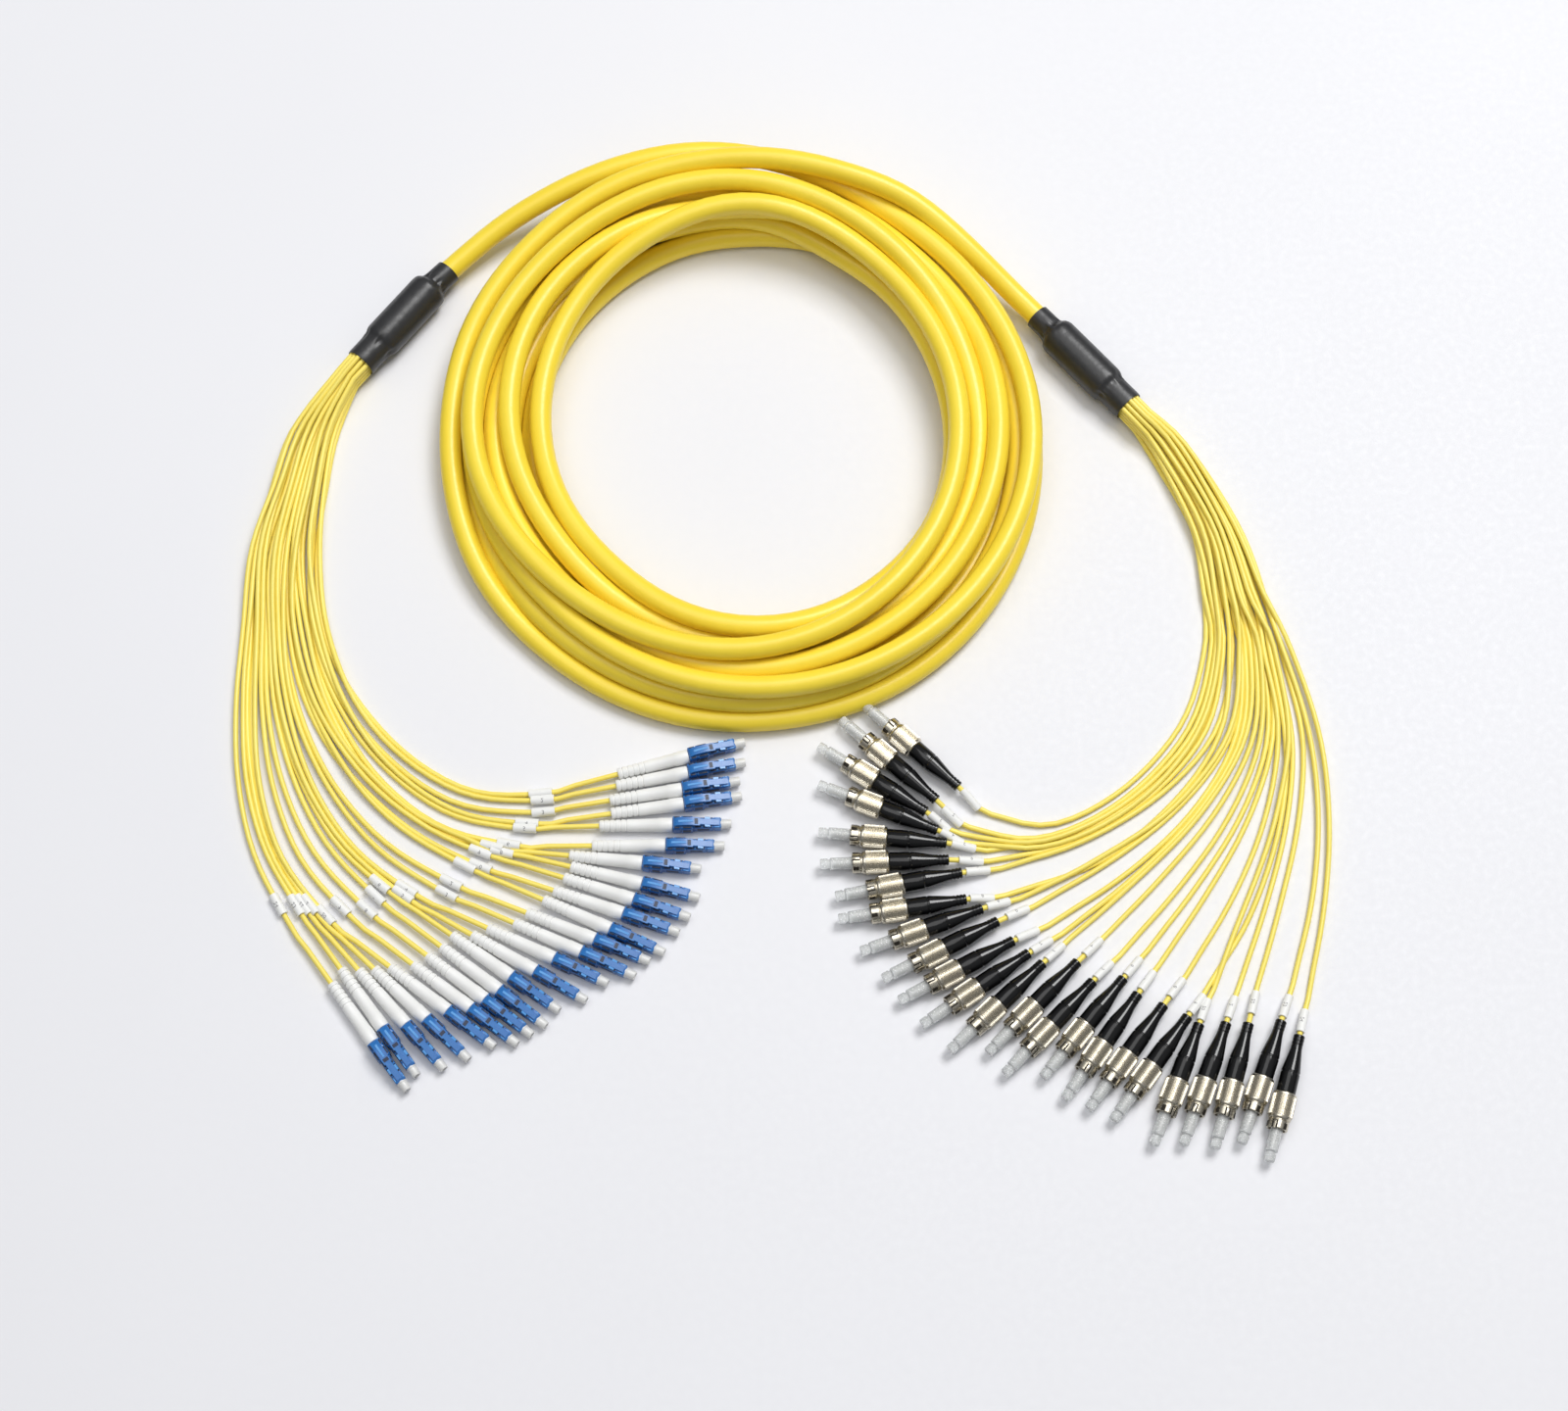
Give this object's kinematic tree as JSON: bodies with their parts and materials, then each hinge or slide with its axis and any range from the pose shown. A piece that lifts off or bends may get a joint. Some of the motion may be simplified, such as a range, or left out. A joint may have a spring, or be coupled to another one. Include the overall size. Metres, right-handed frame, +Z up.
{
  "type": "fibre breakout cable",
  "caption": "Coiled fibre breakout cable: a round trunk with a breakout sleeve at each end, fanning into thin legs with capped connectors.",
  "frame": {"origin": "on the floor, under the middle of the laid-out cable's bounding box", "axes": "+Z up from the floor it lies on; +X towards the screw connectors' side; +Y from the connectors towards the coil"},
  "size_m": [0.4544, 0.446, 0.039],
  "materials": {
    "trunk_jacket": "yellow PVC jacket, soft sheen",
    "leg_jacket": "yellow PVC leg jacket, soft sheen",
    "heat_shrink": "black heat-shrink polyolefin, satin",
    "blue_housing": "blue moulded plastic, semi-gloss",
    "white_boot": "white moulded boot, satin",
    "black_boot": "black moulded boot, glossy",
    "nickel": "satin nickel plate on brass",
    "clear_cap": "cloudy clear soft plastic",
    "marker_sleeve": "white printed marker sleeve"
  },
  "bodies": {
    "root": {"trunk_coil": "trunk_jacket", "trunk_tail_lc": "trunk_jacket", "trunk_tail_fc": "trunk_jacket", "breakout_sleeve_lc": "heat_shrink", "breakout_sleeve_fc": "heat_shrink", "lc_legs": "leg_jacket", "fc_legs": "leg_jacket", "lc_connector_01": "blue_housing", "lc_connector_02": "blue_housing", "lc_connector_03": "blue_housing", "lc_connector_04": "blue_housing", "lc_connector_05": "blue_housing", "lc_connector_06": "blue_housing", "lc_connector_07": "blue_housing", "lc_connector_08": "blue_housing", "lc_connector_09": "blue_housing", "lc_connector_10": "blue_housing", "lc_connector_11": "blue_housing", "lc_connector_12": "blue_housing", "lc_connector_13": "blue_housing", "lc_connector_14": "blue_housing", "lc_connector_15": "blue_housing", "lc_connector_16": "blue_housing", "lc_connector_17": "blue_housing", "lc_connector_18": "blue_housing", "lc_connector_19": "blue_housing", "lc_connector_20": "blue_housing", "lc_connector_21": "blue_housing", "lc_connector_22": "blue_housing", "lc_connector_23": "blue_housing", "lc_connector_24": "blue_housing", "fc_connector_01": "nickel", "fc_connector_02": "nickel", "fc_connector_03": "nickel", "fc_connector_04": "nickel", "fc_connector_05": "nickel", "fc_connector_06": "nickel", "fc_connector_07": "nickel", "fc_connector_08": "nickel", "fc_connector_09": "nickel", "fc_connector_10": "nickel", "fc_connector_11": "nickel", "fc_connector_12": "nickel", "fc_connector_13": "nickel", "fc_connector_14": "nickel", "fc_connector_15": "nickel", "fc_connector_16": "nickel", "fc_connector_17": "nickel", "fc_connector_18": "nickel", "fc_connector_19": "nickel", "fc_connector_20": "nickel", "fc_connector_21": "nickel", "fc_connector_22": "nickel", "fc_connector_23": "nickel", "fc_connector_24": "nickel"}
  },
  "joints": []
}
